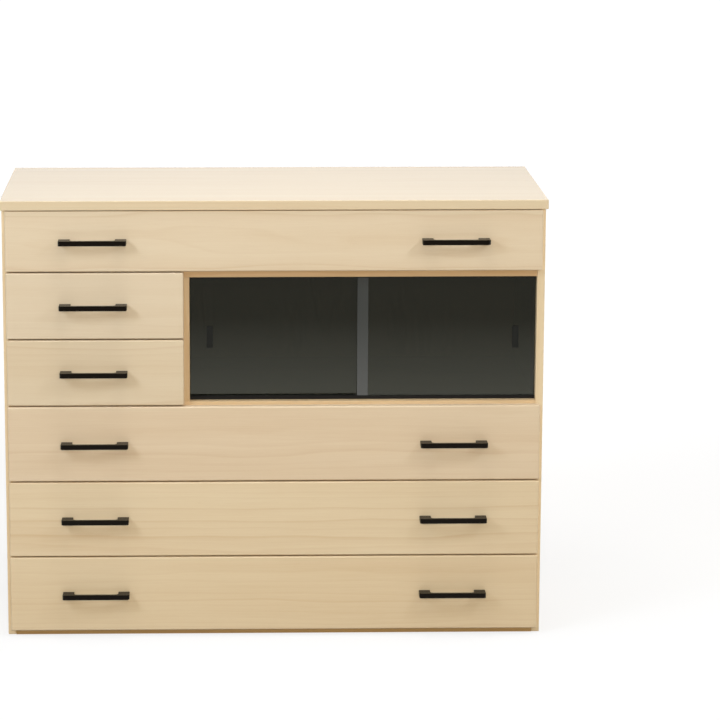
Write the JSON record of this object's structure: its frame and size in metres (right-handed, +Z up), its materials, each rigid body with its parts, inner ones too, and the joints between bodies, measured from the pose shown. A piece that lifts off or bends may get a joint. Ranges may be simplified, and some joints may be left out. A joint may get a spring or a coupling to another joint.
{
  "type": "tea cabinet",
  "caption": "Low wide wooden tea cabinet with full-width drawers, small drawers beside a compartment with sliding smoked-glass doors, and black bow handles.",
  "frame": {"origin": "on the floor, under the middle of the overall box with the handles", "axes": "+X to the right seen from the front, +Y to the back, +Z up; the drawers open towards -Y"},
  "size_m": [1.05, 0.469, 0.865],
  "materials": {
    "pale_wood": "satin clear lacquer over pale straight-grained hardwood",
    "drawer_wood": "planed, unlacquered light softwood",
    "plywood": "sanded thin plywood",
    "black_metal": "satin black baked enamel",
    "black_plastic": "extruded or moulded matte black",
    "grey_plastic": "extruded satin grey",
    "smoked_glass": "polished grey smoked float glass"
  },
  "bodies": {
    "cabinet": {"top_board": "pale_wood", "left_side_panel": "pale_wood", "right_side_panel": "pale_wood", "back_panel": "plywood", "upper_shelf": "pale_wood", "small_drawer_shelf": "pale_wood", "middle_shelf": "pale_wood", "upper_dust_board": "pale_wood", "lower_dust_board": "pale_wood", "bottom_board": "pale_wood", "front_base_rail": "pale_wood", "rear_base_rail": "pale_wood", "divider": "pale_wood", "upper_track": "black_plastic", "lower_track": "black_plastic"},
    "top_drawer": {"top_drawer_front": "pale_wood", "top_drawer_left_side": "drawer_wood", "top_drawer_right_side": "drawer_wood", "top_drawer_back": "drawer_wood", "top_drawer_bottom": "plywood", "top_drawer_left_handle": "black_metal", "top_drawer_right_handle": "black_metal"},
    "upper_small_drawer": {"upper_small_drawer_front": "pale_wood", "upper_small_drawer_left_side": "drawer_wood", "upper_small_drawer_right_side": "drawer_wood", "upper_small_drawer_back": "drawer_wood", "upper_small_drawer_bottom": "plywood", "upper_small_drawer_handle": "black_metal"},
    "lower_small_drawer": {"lower_small_drawer_front": "pale_wood", "lower_small_drawer_left_side": "drawer_wood", "lower_small_drawer_right_side": "drawer_wood", "lower_small_drawer_back": "drawer_wood", "lower_small_drawer_bottom": "plywood", "lower_small_drawer_handle": "black_metal"},
    "upper_large_drawer": {"upper_large_drawer_front": "pale_wood", "upper_large_drawer_left_side": "drawer_wood", "upper_large_drawer_right_side": "drawer_wood", "upper_large_drawer_back": "drawer_wood", "upper_large_drawer_bottom": "plywood", "upper_large_drawer_left_handle": "black_metal", "upper_large_drawer_right_handle": "black_metal"},
    "middle_large_drawer": {"middle_large_drawer_front": "pale_wood", "middle_large_drawer_left_side": "drawer_wood", "middle_large_drawer_right_side": "drawer_wood", "middle_large_drawer_back": "drawer_wood", "middle_large_drawer_bottom": "plywood", "middle_large_drawer_left_handle": "black_metal", "middle_large_drawer_right_handle": "black_metal"},
    "lower_large_drawer": {"lower_large_drawer_front": "pale_wood", "lower_large_drawer_left_side": "drawer_wood", "lower_large_drawer_right_side": "drawer_wood", "lower_large_drawer_back": "drawer_wood", "lower_large_drawer_bottom": "plywood", "lower_large_drawer_left_handle": "black_metal", "lower_large_drawer_right_handle": "black_metal"},
    "left_door": {"left_glass_door": "smoked_glass", "left_door_pull": "black_plastic"},
    "right_door": {"right_glass_door": "smoked_glass", "right_door_pull": "black_plastic", "meeting_strip": "grey_plastic"}
  },
  "joints": [
    {"name": "top_drawer_slide", "type": "slide", "parent": "cabinet", "child": "top_drawer", "axis": [0, -1, 0], "range_m": [0, 0.3]},
    {"name": "upper_small_drawer_slide", "type": "slide", "parent": "cabinet", "child": "upper_small_drawer", "axis": [0, -1, 0], "range_m": [0, 0.3]},
    {"name": "lower_small_drawer_slide", "type": "slide", "parent": "cabinet", "child": "lower_small_drawer", "axis": [0, -1, 0], "range_m": [0, 0.3]},
    {"name": "upper_large_drawer_slide", "type": "slide", "parent": "cabinet", "child": "upper_large_drawer", "axis": [0, -1, 0], "range_m": [0, 0.3]},
    {"name": "middle_large_drawer_slide", "type": "slide", "parent": "cabinet", "child": "middle_large_drawer", "axis": [0, -1, 0], "range_m": [0, 0.3]},
    {"name": "lower_large_drawer_slide", "type": "slide", "parent": "cabinet", "child": "lower_large_drawer", "axis": [0, -1, 0], "range_m": [0, 0.3]},
    {"name": "left_door_slide", "type": "slide", "parent": "cabinet", "child": "left_door", "axis": [1, 0, 0], "range_m": [0, 0.324]},
    {"name": "right_door_slide", "type": "slide", "parent": "cabinet", "child": "right_door", "axis": [1, 0, 0], "range_m": [-0.324, 0]}
  ]
}
